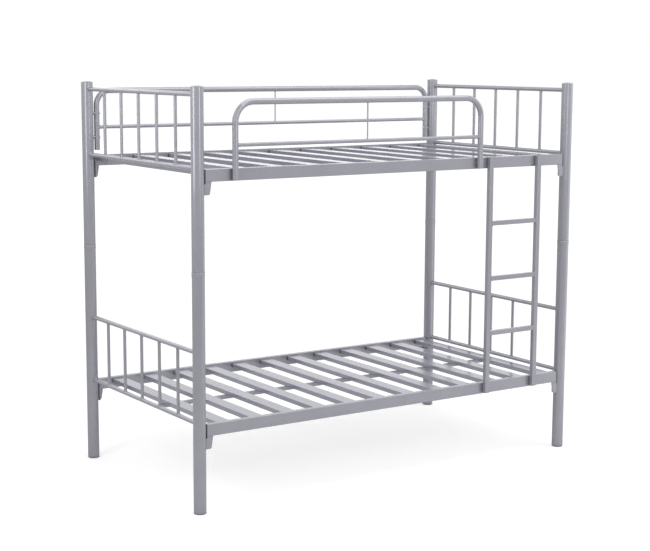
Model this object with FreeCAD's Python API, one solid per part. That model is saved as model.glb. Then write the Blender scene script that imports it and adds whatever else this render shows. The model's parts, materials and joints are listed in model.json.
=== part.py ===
"""Metal bunk bed: round steel posts, two slatted decks, spindle end panels, guard hoops and a ladder.

Frame: X runs along the bed, -Y is the ladder side, +Z is up.  The origin lies on the floor under
the middle of the bed's outer box.  Millimetres throughout.
"""
import FreeCAD
import Part
import math
import os

V = FreeCAD.Vector
X_AXIS = V(1, 0, 0)
Y_AXIS = V(0, 1, 0)
Z_AXIS = V(0, 0, 1)

# Overall layout
POST_PITCH_X = 1940.0       # between the post axes along the bed
POST_PITCH_Y = 1010.0       # between the post axes across the bed
LOWER_DECK_Z = 368.0        # floor to the top edge of the lower side rails
DECK_PITCH = 1025.5         # from the lower to the upper side rails
SEAM_RISE = 621.0           # joint of the posts above the lower side rails
POST_HEAD = 34.5            # crown of the caps above the top tubes of the upper end panels

# Posts, their spigots, feet and caps
POST_D = 52.0
POST_WALL = 1.5
SPIGOT_REACH = 80.0         # length of a spigot in each of the two posts it joins
SPIGOT_WALL = 2.0
SPIGOT_CLEARANCE = 0.3      # slip fit in the upper post
FOOT_HEIGHT = 8.0           # plastic that shows below the post
FOOT_EDGE_R = 4.0
CAP_EDGE = 1.5              # straight rim of a cap above the post
CAP_CROWN = 4.5             # rise of the cap's dome over its rim
PLUG_STEM = 18.0            # length of foot and cap stems in the posts
PLUG_WALL = 3.0
TUBE_PLUG_STEM = 8.0        # length of the plugs' stems in guard legs and stiles
COLLAR_LENGTH = 19.0        # swelled top end of a lower post
COLLAR_RISE = 0.9
SEAM_BEVEL = 0.9            # bevel of the post ends at their joint

# End panels
END_TUBE_D = 19.0
END_TUBE_WALL = 1.2
END_PANEL_LIFT = 2.0        # bottom tube axis above the deck's rails
END_PANEL_RISE = 290.0      # between the axes of the two tubes of a panel
SPINDLE_D = 13.5
SPINDLE_WALL = 1.0
SPINDLE_COUNT = 5
SPINDLE_PITCH = 163.0

# Side rails
RAIL_HEIGHT = 50.0
RAIL_WIDTH = 25.0
RAIL_WALL = 1.2
RAIL_EDGE_R = 2.5

# Hook brackets on the rail ends
BRACKET_GAP = 3.0           # from the post to the bracket's end plate
BRACKET_PLATE = 5.0
TONGUE_DROP = 52.0          # length of the tongue below the rail
TONGUE_NECK = 8.0           # the tongue reaches to the post only below this
TONGUE_TOP_WIDTH = 27.0
TONGUE_FOOT_WIDTH = 19.0
TONGUE_CORNER_R = 9.0
TONGUE_CLEARANCE = 0.5      # between the post and the coped tongue and web
WEB_INSET = 3.0             # top edge of the hooks' web below the rail's top edge
HOOK_PLATE = 5.0
HOOK_NECK = 14.0
HOOK_NOSE = 5.0
HOOK_DROP = 8.0
HOOK_INSET = 22.0           # first hook's seat below the rail's top edge
HOOK_PITCH = 50.0
HOOK_CLEARANCE = 0.4        # between a hook's nose and the inside of the post
SLOT_CLEARANCE = 0.5

# Slats and the bar that carries them at the middle
LOWER_SLAT_COUNT = 12
LOWER_SLAT_LEFT = 126.0     # first lower slat's centre line from the left posts' axes
LOWER_SLAT_RIGHT = 72.0     # last lower slat's centre line from the right posts' axes
UPPER_SLAT_COUNT = 11
UPPER_SLAT_LEFT = 65.0
UPPER_SLAT_RIGHT = 65.0
SLAT_WIDTH = 60.0
SLAT_HEIGHT = 20.0
SLAT_WALL = 0.8
SLAT_EDGE_R = 1.5
SLAT_INSET = 7.0            # slat tops below the rails' top edges
LOWER_SUPPORT_OVERHANG = 30.0   # past the outer slats' outer edges
UPPER_SUPPORT_SETBACK = 182.0   # short of the outer slats' outer edges
SUPPORT_WIDTH = 20.0
SUPPORT_HEIGHT = 16.0
SUPPORT_WALL = 1.2
SUPPORT_EDGE_R = 1.5

# Guard hoops
GUARD_D = 25.0
GUARD_WALL = 1.2
GUARD_BAR_D = 16.0
GUARD_BAR_WALL = 1.0
GUARD_WIRE_D = 6.0
GUARD_WIRE_SHIFT = 14.0     # the upright wire stands this far right of the middle
GUARD_PLUG_RIM = 2.5
FRONT_GUARD_INSET = 155.5   # left leg from the left post's axis
FRONT_GUARD_FOOT_LIFT = 3.0     # feet above the rail's bottom edge
FRONT_GUARD_BAR_RISE = 92.5     # straight bar above the upper rails
FRONT_GUARD_SHOULDER = 88.0     # from the bar up to the start of the bends
FRONT_GUARD_BEND_R = 82.0
BACK_GUARD_POST_GAP = 6.2   # from a post to the leg beside it
BACK_GUARD_FOOT_RISE = 20.0     # feet above the upper rails
BACK_GUARD_LOW_BOLT = 57.0      # from the feet up to the lower bolts
BACK_GUARD_BAR_RISE = 45.0      # from the lower bolts up to the straight bar
BACK_GUARD_TOP_BOLT = 62.0      # from the bar up to the upper bolts
BACK_GUARD_SHOULDER = 36.0      # from the upper bolts up to the start of the bends
BACK_GUARD_BEND_R = 64.0

# Ladder
LADDER_INSET = 189.5        # right stile's centre line from the right posts' axes
LADDER_PITCH = 281.5        # between the stiles' centre lines
LADDER_GUARD_GAP = 63.5     # from the guard's right leg to the left stile, between centre lines
LADDER_FOOT_LIFT = 5.0      # feet above the lower rail's bottom edge
STILE_WIDTH = 23.0
STILE_DEPTH = 20.0
STILE_WALL = 1.5
STILE_EDGE_R = 2.0
STILE_PLUG_RIM = 2.0
RUNG_NAMES = ("top", "middle", "bottom")
RUNG_DROP = 295.5           # top rung below the upper rail's top edge
RUNG_PITCH = 250.0
RUNG_HEIGHT = 21.0
RUNG_DEPTH = 18.0
RUNG_WALL = 1.2
RUNG_EDGE_R = 2.0

# Fasteners
SPACER_THICKNESS = 3.0      # holds the front guard and the ladder off the rails
SPACER_D = 14.0
BOLT_D = 6.0
BOLT_HOLE_D = 6.6
ACCESS_HOLE_D = 14.0        # in the rail's inner wall, lets a bolt's head reach the outer wall
BOLT_HEAD_FLATS = 10.0
BOLT_HEAD_HEIGHT = 4.0
BUTTON_HEAD_D = 13.0
BUTTON_HEAD_HEIGHT = 3.5
INSERT_D = 9.0              # threaded insert in a tube wall
INSERT_LENGTH = 10.0

# Values that follow from the sizes above
POST_R = POST_D / 2
POST_BORE_R = POST_R - POST_WALL
GUARD_R = GUARD_D / 2
FRONT_REACH = RAIL_WIDTH / 2 + SPACER_THICKNESS + max(GUARD_D, STILE_DEPTH)
MID_Y = (FRONT_REACH - POST_R) / 2
FRONT_Y = MID_Y - POST_PITCH_Y / 2
BACK_Y = MID_Y + POST_PITCH_Y / 2
LEFT_X = -POST_PITCH_X / 2
UPPER_DECK_Z = LOWER_DECK_Z + DECK_PITCH
SEAM_Z = LOWER_DECK_Z + SEAM_RISE
BED_HEIGHT = UPPER_DECK_Z + END_PANEL_LIFT + END_PANEL_RISE + POST_HEAD
DECKS = {"lower": LOWER_DECK_Z, "upper": UPPER_DECK_Z}
CORNERS = {
    "front_left": (False, False),
    "front_right": (True, False),
    "back_left": (False, True),
    "back_right": (True, True),
}
PLATE_X = LEFT_X + POST_R + BRACKET_GAP
RAIL_END_X = PLATE_X + BRACKET_PLATE
RAIL_FACE_Y = FRONT_Y - RAIL_WIDTH / 2
RAIL_INNER_Y = FRONT_Y + RAIL_WIDTH / 2
GUARD_Y = RAIL_FACE_Y - SPACER_THICKNESS - GUARD_R
STILE_BACK_Y = RAIL_FACE_Y - SPACER_THICKNESS
STILE_Y = STILE_BACK_Y - STILE_DEPTH / 2
LADDER_FOOT_Z = LOWER_DECK_Z - RAIL_HEIGHT + LADDER_FOOT_LIFT
BACK_GUARD_LEG_X = POST_PITCH_X / 2 - POST_R - BACK_GUARD_POST_GAP - GUARD_R
BACK_GUARD_FOOT_Z = UPPER_DECK_Z + BACK_GUARD_FOOT_RISE
BACK_GUARD_LOW_BOLT_Z = BACK_GUARD_FOOT_Z + BACK_GUARD_LOW_BOLT
BACK_GUARD_BAR_Z = BACK_GUARD_LOW_BOLT_Z + BACK_GUARD_BAR_RISE
BACK_GUARD_TOP_BOLT_Z = BACK_GUARD_BAR_Z + BACK_GUARD_TOP_BOLT
BACK_GUARD_TOP_Z = BACK_GUARD_TOP_BOLT_Z + BACK_GUARD_SHOULDER + BACK_GUARD_BEND_R
FRONT_GUARD_FOOT_Z = UPPER_DECK_Z - RAIL_HEIGHT + FRONT_GUARD_FOOT_LIFT
FRONT_GUARD_BAR_Z = UPPER_DECK_Z + FRONT_GUARD_BAR_RISE
FRONT_GUARD_TOP_Z = FRONT_GUARD_BAR_Z + FRONT_GUARD_SHOULDER + FRONT_GUARD_BEND_R
RIGHT_STILE_X = -LEFT_X - LADDER_INSET
LEFT_STILE_X = RIGHT_STILE_X - LADDER_PITCH
LADDER_STILES = {"left": LEFT_STILE_X, "right": RIGHT_STILE_X}
FRONT_GUARD_LEGS = (LEFT_X + FRONT_GUARD_INSET, LEFT_STILE_X - LADDER_GUARD_GAP)
RAIL_MIDDLE = RAIL_HEIGHT / 2
SLAT_ROWS = {
    "lower": (LOWER_SLAT_COUNT, LEFT_X + LOWER_SLAT_LEFT, -LEFT_X - LOWER_SLAT_RIGHT),
    "upper": (UPPER_SLAT_COUNT, LEFT_X + UPPER_SLAT_LEFT, -LEFT_X - UPPER_SLAT_RIGHT),
}
SUPPORT_OVERHANGS = {"lower": LOWER_SUPPORT_OVERHANG, "upper": -UPPER_SUPPORT_SETBACK}


def placed(shape, flip_x, flip_y):
    """Copy of a front left piece in another corner of the bed."""
    if flip_x:
        shape = shape.mirror(V(0, 0, 0), X_AXIS)
    if flip_y:
        shape = shape.mirror(V(0, MID_Y, 0), Y_AXIS)
    return shape


def rod(start, end, diameter):
    """Solid round bar between two points."""
    run = end - start
    return Part.makeCylinder(diameter / 2, run.Length, start, run)


def tube(start, end, diameter, wall):
    """Round tube between two points, open at both ends."""
    return rod(start, end, diameter).cut(rod(start, end, diameter - 2 * wall))


def rounded_bar(start, run, across, width, up, height, radius):
    """Solid bar of rounded rectangular section; the section is centred on the start point."""
    half_w = width / 2
    half_h = height / 2
    slack = radius * (1 - math.sqrt(0.5))

    def point(a, b):
        return start + across * a + up * b

    edges = []
    for sign_a, sign_b in ((1, 1), (-1, 1), (-1, -1), (1, -1)):
        along_b = point(sign_a * half_w, sign_b * (half_h - radius))
        middle = point(sign_a * (half_w - slack), sign_b * (half_h - slack))
        along_a = point(sign_a * (half_w - radius), sign_b * half_h)
        ends = (along_b, along_a) if sign_a == sign_b else (along_a, along_b)
        if edges:
            edges.append(Part.LineSegment(edges[-1].EndPoint, ends[0]))
        edges.append(Part.Arc(ends[0], middle, ends[1]))
    edges.append(Part.LineSegment(edges[-1].EndPoint, edges[0].StartPoint))
    outline = Part.Wire([edge.toShape() for edge in edges])
    return Part.Face(outline).extrude(run)


def rounded_tube(start, run, across, width, up, height, wall, radius):
    """Hollow bar of rounded rectangular section with square inner corners."""
    outer = rounded_bar(start, run, across, width, up, height, radius)
    bore_w = width - 2 * wall
    bore_h = height - 2 * wall
    corner = start - across * (bore_w / 2) - up * (bore_h / 2)
    bore = Part.makePolygon([
        corner,
        corner + across * bore_w,
        corner + across * bore_w + up * bore_h,
        corner + up * bore_h,
        corner,
    ])
    return outer.cut(Part.Face(bore).extrude(run))


def box(low, high):
    """Box between two corners."""
    size = high - low
    return Part.makeBox(size.x, size.y, size.z, low)


def post_column(diameter):
    """Solid cylinder on the front left post's axis, over the whole height of the bed."""
    foot = V(LEFT_X, FRONT_Y, 0)
    return rod(foot, foot + Z_AXIS * BED_HEIGHT, diameter)


def hook_seats(deck_z):
    """Heights where the two hooks of a rail end sit in the post."""
    first = deck_z - HOOK_INSET
    return (first, first - HOOK_PITCH)


def hook_slots(deck_z):
    """Cutters for the two slots that take a rail end's hooks in the front left post."""
    height = HOOK_NECK + HOOK_DROP + SLOT_CLEARANCE
    half = HOOK_PLATE / 2 + SLOT_CLEARANCE
    cutters = []
    for seat in hook_seats(deck_z):
        low = V(LEFT_X, FRONT_Y - half, seat)
        cutters.append(box(low, V(PLATE_X, FRONT_Y + half, seat + height)))
    return Part.makeCompound(cutters)


def lower_post():
    """Front left lower post with a swelled top end, slotted for the lower rails' hooks."""
    collar_r = POST_R + COLLAR_RISE
    collar_z = SEAM_Z - COLLAR_LENGTH
    outline = [
        (POST_BORE_R, FOOT_HEIGHT), (POST_R, FOOT_HEIGHT), (POST_R, collar_z - COLLAR_RISE),
        (collar_r, collar_z), (collar_r, SEAM_Z - SEAM_BEVEL), (collar_r - SEAM_BEVEL, SEAM_Z),
        (POST_BORE_R, SEAM_Z),
    ]
    column = turned(half_profile(outline), V(LEFT_X, FRONT_Y, 0))
    return column.cut(hook_slots(LOWER_DECK_Z))


def upper_post():
    """Front left upper post with a bevelled foot, slotted for the upper rails' hooks."""
    post_top = BED_HEIGHT - CAP_CROWN - CAP_EDGE
    outline = [
        (POST_BORE_R, SEAM_Z), (POST_R - SEAM_BEVEL, SEAM_Z), (POST_R, SEAM_Z + SEAM_BEVEL),
        (POST_R, post_top), (POST_BORE_R, post_top),
    ]
    column = turned(half_profile(outline), V(LEFT_X, FRONT_Y, 0))
    return column.cut(hook_slots(UPPER_DECK_Z))


def spigot():
    """Sleeve that is pressed in the lower post and slips into the upper one."""
    low = V(LEFT_X, FRONT_Y, SEAM_Z - SPIGOT_REACH)
    seam = V(LEFT_X, FRONT_Y, SEAM_Z)
    high = V(LEFT_X, FRONT_Y, SEAM_Z + SPIGOT_REACH)
    pressed_d = 2 * POST_BORE_R
    slip_d = pressed_d - 2 * SPIGOT_CLEARANCE
    bore_d = slip_d - 2 * SPIGOT_WALL
    sleeve = rod(low, seam, pressed_d).fuse(rod(seam, high, slip_d))
    return sleeve.cut(rod(low, high, bore_d)).removeSplitter()


def turned(points_and_edges, axis_point):
    """Solid of revolution about a vertical axis from the edges of a closed half profile."""
    profile = Part.Face(Part.Wire([edge.toShape() for edge in points_and_edges]))
    return profile.revolve(axis_point, Z_AXIS, 360)


def half_profile(points):
    """Closed loop of straight edges in the XZ plane of the front left post, from (radius, z)."""
    corners = [V(LEFT_X + radius, FRONT_Y, z) for radius, z in points]
    return [Part.LineSegment(a, b) for a, b in zip(corners, corners[1:] + corners[:1])]


def foot_plug():
    """Plastic foot with a rounded edge and a hollow stem in the post."""
    stem_top = FOOT_HEIGHT + PLUG_STEM
    hollow_r = POST_BORE_R - PLUG_WALL
    outline = [
        (0, 0), (POST_R, 0), (POST_R, FOOT_HEIGHT), (POST_BORE_R, FOOT_HEIGHT),
        (POST_BORE_R, stem_top), (hollow_r, stem_top), (hollow_r, FOOT_HEIGHT), (0, FOOT_HEIGHT),
    ]
    foot = turned(half_profile(outline), V(LEFT_X, FRONT_Y, 0))
    rim = [edge for edge in foot.Edges if edge.BoundBox.ZMax < FOOT_EDGE_R / 2]
    ring = [edge for edge in rim if edge.BoundBox.XLength > POST_R]
    return foot.makeFillet(FOOT_EDGE_R, ring)


def top_cap():
    """Plastic cap with a shallow dome and a hollow stem in the post."""
    post_top = BED_HEIGHT - CAP_CROWN - CAP_EDGE
    rim_z = BED_HEIGHT - CAP_CROWN
    stem_z = post_top - PLUG_STEM
    hollow_r = POST_BORE_R - PLUG_WALL
    dome_r = (POST_R ** 2 + CAP_CROWN ** 2) / (2 * CAP_CROWN)
    mid_r = POST_R / 2
    mid_z = BED_HEIGHT - dome_r + math.sqrt(dome_r ** 2 - mid_r ** 2)
    outline = [
        (POST_R, rim_z), (POST_R, post_top), (POST_BORE_R, post_top), (POST_BORE_R, stem_z),
        (hollow_r, stem_z), (hollow_r, post_top), (0, post_top), (0, BED_HEIGHT),
    ]
    edges = half_profile(outline)
    crown = Part.Arc(edges[-1].StartPoint, V(LEFT_X + mid_r, FRONT_Y, mid_z), edges[0].StartPoint)
    return turned(edges[:-1] + [crown], V(LEFT_X, FRONT_Y, 0))


def end_tube(height):
    """Cross tube of the left end at one height, coped to both posts."""
    front = V(LEFT_X, FRONT_Y, height)
    back = V(LEFT_X, BACK_Y, height)
    column = post_column(POST_D)
    return tube(front, back, END_TUBE_D, END_TUBE_WALL).cut([column, placed(column, False, True)])


def end_spindles(bottom_z, top_z):
    """Upright rods of a left end panel, coped to its two cross tubes."""
    cross_rods = [
        rod(V(LEFT_X, FRONT_Y, height), V(LEFT_X, BACK_Y, height), END_TUBE_D)
        for height in (bottom_z, top_z)
    ]
    spindles = []
    for index in range(SPINDLE_COUNT):
        y = MID_Y + (index - (SPINDLE_COUNT - 1) / 2) * SPINDLE_PITCH
        upright = tube(V(LEFT_X, y, bottom_z), V(LEFT_X, y, top_z), SPINDLE_D, SPINDLE_WALL)
        spindles += largest_solids(upright.cut(cross_rods))
    return Part.makeCompound(spindles)


def largest_solids(shape):
    """The largest solid of a cut, as a list, without slivers left in a neighbour's bore."""
    return [max(shape.Solids, key=lambda solid: solid.Volume)]


def bolt_bores(stations, start_y, end_y, diameter):
    """Round cutters along Y at (x, z) stations."""
    return [rod(V(x, start_y, z), V(x, end_y, z), diameter) for x, z in stations]


def side_rail(deck_z):
    """Front side rail of one deck between its two end brackets."""
    start = V(RAIL_END_X, FRONT_Y, deck_z - RAIL_MIDDLE)
    run = X_AXIS * (-2 * RAIL_END_X)
    return rounded_tube(start, run, Y_AXIS, RAIL_WIDTH, Z_AXIS, RAIL_HEIGHT, RAIL_WALL, RAIL_EDGE_R)


def rail_bolt_stations(level):
    """Places (x, z) where the front rail of a deck is drilled for the ladder and the guard."""
    height = DECKS[level] - RAIL_MIDDLE
    places = list(LADDER_STILES.values())
    if level == "upper":
        places += FRONT_GUARD_LEGS
    return [(x, height) for x in places]


def tongue(deck_z):
    """Tapered front wing of a bracket below the rail, coped to the post."""
    top_z = deck_z - RAIL_HEIGHT
    neck_z = top_z - TONGUE_NECK
    foot_z = top_z - TONGUE_DROP
    tip = V(PLATE_X + TONGUE_FOOT_WIDTH, RAIL_FACE_Y, foot_z)
    corners = [
        V(LEFT_X, RAIL_FACE_Y, neck_z),
        V(PLATE_X, RAIL_FACE_Y, neck_z),
        V(PLATE_X, RAIL_FACE_Y, top_z),
        V(PLATE_X + TONGUE_TOP_WIDTH, RAIL_FACE_Y, top_z),
        tip,
        V(LEFT_X, RAIL_FACE_Y, foot_z),
    ]
    wing = Part.Face(Part.makePolygon(corners + corners[:1])).extrude(Y_AXIS * BRACKET_PLATE)
    tip_middle = tip + Y_AXIS * (BRACKET_PLATE / 2)
    tip_edge = min(wing.Edges, key=lambda edge: edge.CenterOfMass.distanceToPoint(tip_middle))
    column = post_column(POST_D + 2 * TONGUE_CLEARANCE)
    return wing.makeFillet(TONGUE_CORNER_R, [tip_edge]).cut(column)


def hook(seat_z):
    """Flat hook that passes through a slot of the front left post and drops behind its wall."""
    bore_x = LEFT_X + math.sqrt(POST_BORE_R ** 2 - (HOOK_PLATE / 2) ** 2)
    nose_x = bore_x - HOOK_CLEARANCE
    tip_x = nose_x - HOOK_NOSE
    side_y = FRONT_Y - HOOK_PLATE / 2
    outline = [
        (PLATE_X, seat_z), (PLATE_X, seat_z + HOOK_NECK), (tip_x, seat_z + HOOK_NECK),
        (tip_x, seat_z - HOOK_DROP), (nose_x, seat_z - HOOK_DROP), (nose_x, seat_z),
    ]
    corners = [V(x, side_y, z) for x, z in outline]
    return Part.Face(Part.makePolygon(corners + corners[:1])).extrude(Y_AXIS * HOOK_PLATE)


def hook_web(foot_z, deck_z):
    """Narrow web from a bracket's end plate towards the post, in the plane of its hooks."""
    half = HOOK_PLATE / 2
    web = box(V(LEFT_X, FRONT_Y - half, foot_z), V(PLATE_X, FRONT_Y + half, deck_z - WEB_INSET))
    return web.cut(post_column(POST_D + 2 * TONGUE_CLEARANCE))


def rail_bracket(deck_z):
    """Bracket on the left end of a front rail: end plate, tongue, web and two hooks in one piece."""
    foot_z = deck_z - RAIL_HEIGHT - TONGUE_DROP
    plate = box(V(PLATE_X, RAIL_FACE_Y, foot_z), V(RAIL_END_X, RAIL_INNER_Y, deck_z))
    hooks = [hook(seat) for seat in hook_seats(deck_z)]
    return plate.fuse([tongue(deck_z), hook_web(foot_z, deck_z)] + hooks).removeSplitter()


def slat_places(level):
    """Centre lines of a deck's slats along the bed."""
    count, first, last = SLAT_ROWS[level]
    return [first + (last - first) * index / (count - 1) for index in range(count)]


def slats(level):
    """Cross slats of one deck between the inner faces of its rails."""
    height = DECKS[level] - SLAT_INSET - SLAT_HEIGHT / 2
    run = Y_AXIS * (POST_PITCH_Y - RAIL_WIDTH)
    bars = [
        rounded_tube(V(x, RAIL_INNER_Y, height), run, X_AXIS, SLAT_WIDTH, Z_AXIS, SLAT_HEIGHT,
                     SLAT_WALL, SLAT_EDGE_R)
        for x in slat_places(level)
    ]
    return Part.makeCompound(bars)


def slat_support(level):
    """Bar under the middle of a deck's slats."""
    places = slat_places(level)
    reach = SLAT_WIDTH / 2 + SUPPORT_OVERHANGS[level]
    start_x = places[0] - reach
    run = X_AXIS * (places[-1] + reach - start_x)
    height = DECKS[level] - SLAT_INSET - SLAT_HEIGHT - SUPPORT_HEIGHT / 2
    return rounded_tube(V(start_x, MID_Y, height), run, Y_AXIS, SUPPORT_WIDTH, Z_AXIS,
                        SUPPORT_HEIGHT, SUPPORT_WALL, SUPPORT_EDGE_R)


def hoop_path(left_x, right_x, y, foot_z, top_z, bend_r):
    """Centre line of a guard hoop: leg, quarter bend, top bar, quarter bend, leg."""
    slack = bend_r * (1 - math.sqrt(0.5))
    shoulder = top_z - bend_r
    left_bend = Part.Arc(V(left_x, y, shoulder), V(left_x + slack, y, top_z - slack),
                         V(left_x + bend_r, y, top_z))
    right_bend = Part.Arc(V(right_x - bend_r, y, top_z), V(right_x - slack, y, top_z - slack),
                          V(right_x, y, shoulder))
    return Part.Wire([edge.toShape() for edge in (
        Part.LineSegment(V(left_x, y, foot_z), left_bend.StartPoint),
        left_bend,
        Part.LineSegment(left_bend.EndPoint, right_bend.StartPoint),
        right_bend,
        Part.LineSegment(right_bend.EndPoint, V(right_x, y, foot_z)),
    )])


def hoop(left_x, right_x, y, foot_z, top_z, bend_r):
    """Bent guard tube."""
    path = hoop_path(left_x, right_x, y, foot_z, top_z, bend_r)
    foot = V(left_x, y, foot_z)

    def filled(radius):
        disc = Part.Face(Part.Wire(Part.makeCircle(radius, foot, Z_AXIS)))
        return Part.Solid(path.makePipe(disc))

    return filled(GUARD_R).cut(filled(GUARD_R - GUARD_WALL))


def guard_legs(left_x, right_x, y, foot_z, top_z):
    """Solid rods in place of the two legs of a hoop, for coping what meets them."""
    return [rod(V(x, y, foot_z), V(x, y, top_z), GUARD_D) for x in (left_x, right_x)]


def guard_bar(left_x, right_x, y, height):
    """Straight bar between the legs of a hoop, coped to both."""
    legs = guard_legs(left_x, right_x, y, height - GUARD_D, height + GUARD_D)
    return tube(V(left_x, y, height), V(right_x, y, height), GUARD_BAR_D, GUARD_BAR_WALL).cut(legs)


def guard_wire(left_x, right_x, y, bar_z, top_z):
    """Upright wire between a hoop's straight bar and its top, coped to both."""
    x = (left_x + right_x) / 2 + GUARD_WIRE_SHIFT
    wire = rod(V(x, y, bar_z), V(x, y, top_z), GUARD_WIRE_D)
    bar = rod(V(left_x, y, bar_z), V(right_x, y, bar_z), GUARD_BAR_D)
    top = rod(V(left_x, y, top_z), V(right_x, y, top_z), GUARD_D)
    return wire.cut([bar, top])


def guard_plug(x, y, foot_z):
    """Plastic plug in the open foot of a hoop's leg."""
    rim = rod(V(x, y, foot_z), V(x, y, foot_z + GUARD_PLUG_RIM), GUARD_D)
    bore_d = GUARD_D - 2 * GUARD_WALL
    stem_foot = V(x, y, foot_z + GUARD_PLUG_RIM)
    return rim.fuse(rod(stem_foot, stem_foot + Z_AXIS * TUBE_PLUG_STEM, bore_d)).removeSplitter()


def ring(start, end, outer_d, inner_d):
    """Round spacer or insert with a bore."""
    return rod(start, end, outer_d).cut(rod(start, end, inner_d))


def hex_bolt(x, z, tip_y):
    """Hexagon bolt from inside a front rail, through its outer wall, towards the outside."""
    seat_y = RAIL_FACE_Y + RAIL_WALL
    head_r = BOLT_HEAD_FLATS / math.sqrt(3)
    corners = [
        V(x + head_r * math.cos(math.radians(angle)), seat_y, z + head_r * math.sin(math.radians(angle)))
        for angle in range(0, 361, 60)
    ]
    head = Part.Face(Part.makePolygon(corners)).extrude(Y_AXIS * BOLT_HEAD_HEIGHT)
    shank = rod(V(x, seat_y, z), V(x, tip_y, z), BOLT_D)
    return head.fuse(shank).removeSplitter()


def front_insert(x, z, face_y):
    """Threaded insert in the rear wall of a tube whose rear face lies at the given y."""
    return ring(V(x, face_y, z), V(x, face_y - INSERT_LENGTH, z), INSERT_D, BOLT_D)


def front_guard(parts):
    """Hoop in front of the upper rail, bolted to it through saddle spacers."""
    foot_z = FRONT_GUARD_FOOT_Z
    bolt_z = UPPER_DECK_Z - RAIL_MIDDLE
    legs = guard_legs(*FRONT_GUARD_LEGS, GUARD_Y, foot_z, FRONT_GUARD_TOP_Z - FRONT_GUARD_BEND_R)
    leg_rear = GUARD_Y + GUARD_R
    stations = [(x, bolt_z) for x in FRONT_GUARD_LEGS]
    tip_y = leg_rear - INSERT_LENGTH
    tube_foot = foot_z + GUARD_PLUG_RIM
    bent = hoop(*FRONT_GUARD_LEGS, GUARD_Y, tube_foot, FRONT_GUARD_TOP_Z, FRONT_GUARD_BEND_R)
    parts["front_guard_hoop"] = bent.cut(bolt_bores(stations, leg_rear, GUARD_Y, INSERT_D))
    parts["front_guard_mid_bar"] = guard_bar(*FRONT_GUARD_LEGS, GUARD_Y, FRONT_GUARD_BAR_Z)
    parts["front_guard_wire"] = guard_wire(*FRONT_GUARD_LEGS, GUARD_Y, FRONT_GUARD_BAR_Z, FRONT_GUARD_TOP_Z)
    parts["front_guard_end_plugs"] = Part.makeCompound(
        [guard_plug(x, GUARD_Y, foot_z) for x in FRONT_GUARD_LEGS])
    parts["front_guard_spacers"] = Part.makeCompound([
        ring(V(x, RAIL_FACE_Y, z), V(x, GUARD_Y, z), SPACER_D, BOLT_HOLE_D).cut(legs)
        for x, z in stations
    ])
    parts["front_guard_inserts"] = Part.makeCompound([
        front_insert(x, z, leg_rear).common(leg) for (x, z), leg in zip(stations, legs)
    ])
    parts["front_guard_bolts"] = Part.makeCompound([hex_bolt(x, z, tip_y) for x, z in stations])


def back_guard_stations():
    """Heights and leg places of the back guard's bolts on the left leg."""
    heights = (BACK_GUARD_TOP_BOLT_Z, BACK_GUARD_LOW_BOLT_Z)
    return [V(-BACK_GUARD_LEG_X, BACK_Y, height) for height in heights]


def both_ends(shapes):
    """Left pieces and their mirrored copies on the right, as one group."""
    return Part.makeCompound(shapes + [placed(shape, True, False) for shape in shapes])


def back_guard(parts):
    """Hoop between the two back posts, bolted sideways to them through saddle spacers."""
    span = (-BACK_GUARD_LEG_X, BACK_GUARD_LEG_X, BACK_Y)
    stations = back_guard_stations()
    leg = guard_legs(*span, BACK_GUARD_FOOT_Z, BACK_GUARD_TOP_Z)[0]
    column = placed(post_column(POST_D), False, True)
    bores = [rod(at - X_AXIS * GUARD_D, at + X_AXIS * GUARD_D, BOLT_HOLE_D) for at in stations]
    tube_foot = BACK_GUARD_FOOT_Z + GUARD_PLUG_RIM
    bent = hoop(*span, tube_foot, BACK_GUARD_TOP_Z, BACK_GUARD_BEND_R)
    parts["back_guard_hoop"] = bent.cut(bores + [placed(bore, True, False) for bore in bores])
    parts["back_guard_mid_bar"] = guard_bar(*span, BACK_GUARD_BAR_Z)
    parts["back_guard_wire"] = guard_wire(*span, BACK_GUARD_BAR_Z, BACK_GUARD_TOP_Z)
    parts["back_guard_end_plugs"] = both_ends([guard_plug(-BACK_GUARD_LEG_X, BACK_Y, BACK_GUARD_FOOT_Z)])
    spacers = []
    inserts = []
    bolts = []
    for at in stations:
        post_axis = V(LEFT_X, BACK_Y, at.z)
        crown = post_axis + X_AXIS * POST_R
        spacers.append(ring(post_axis, at, SPACER_D, BOLT_HOLE_D).cut([leg, column]))
        tip = crown - X_AXIS * INSERT_LENGTH
        inserts.append(ring(crown, tip, INSERT_D, BOLT_D).common(column))
        seat = at + X_AXIS * GUARD_R
        head = rod(at, seat + X_AXIS * BUTTON_HEAD_HEIGHT, BUTTON_HEAD_D).cut(leg)
        bolts.append(head.fuse(rod(tip, seat, BOLT_D)).removeSplitter())
    parts["back_guard_spacers"] = both_ends(spacers)
    parts["back_guard_inserts"] = both_ends(inserts)
    parts["back_guard_bolts"] = both_ends(bolts)


def stile_plug(x, outer_z, direction):
    """Plastic plug in one end of a stile; direction points into the tube."""
    run = Z_AXIS * direction
    rim = rounded_bar(V(x, STILE_Y, outer_z), run * STILE_PLUG_RIM, X_AXIS, STILE_WIDTH, Y_AXIS,
                      STILE_DEPTH, STILE_EDGE_R)
    bore_w = STILE_WIDTH - 2 * STILE_WALL
    bore_d = STILE_DEPTH - 2 * STILE_WALL
    tube_end = V(x, STILE_Y, outer_z) + run * STILE_PLUG_RIM
    low = tube_end - V(bore_w / 2, bore_d / 2, 0)
    high = tube_end + V(bore_w / 2, bore_d / 2, 0) + run * TUBE_PLUG_STEM
    stem_low = V(low.x, low.y, min(low.z, high.z))
    stem_high = V(high.x, high.y, max(low.z, high.z))
    return rim.fuse(box(stem_low, stem_high)).removeSplitter()


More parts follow.
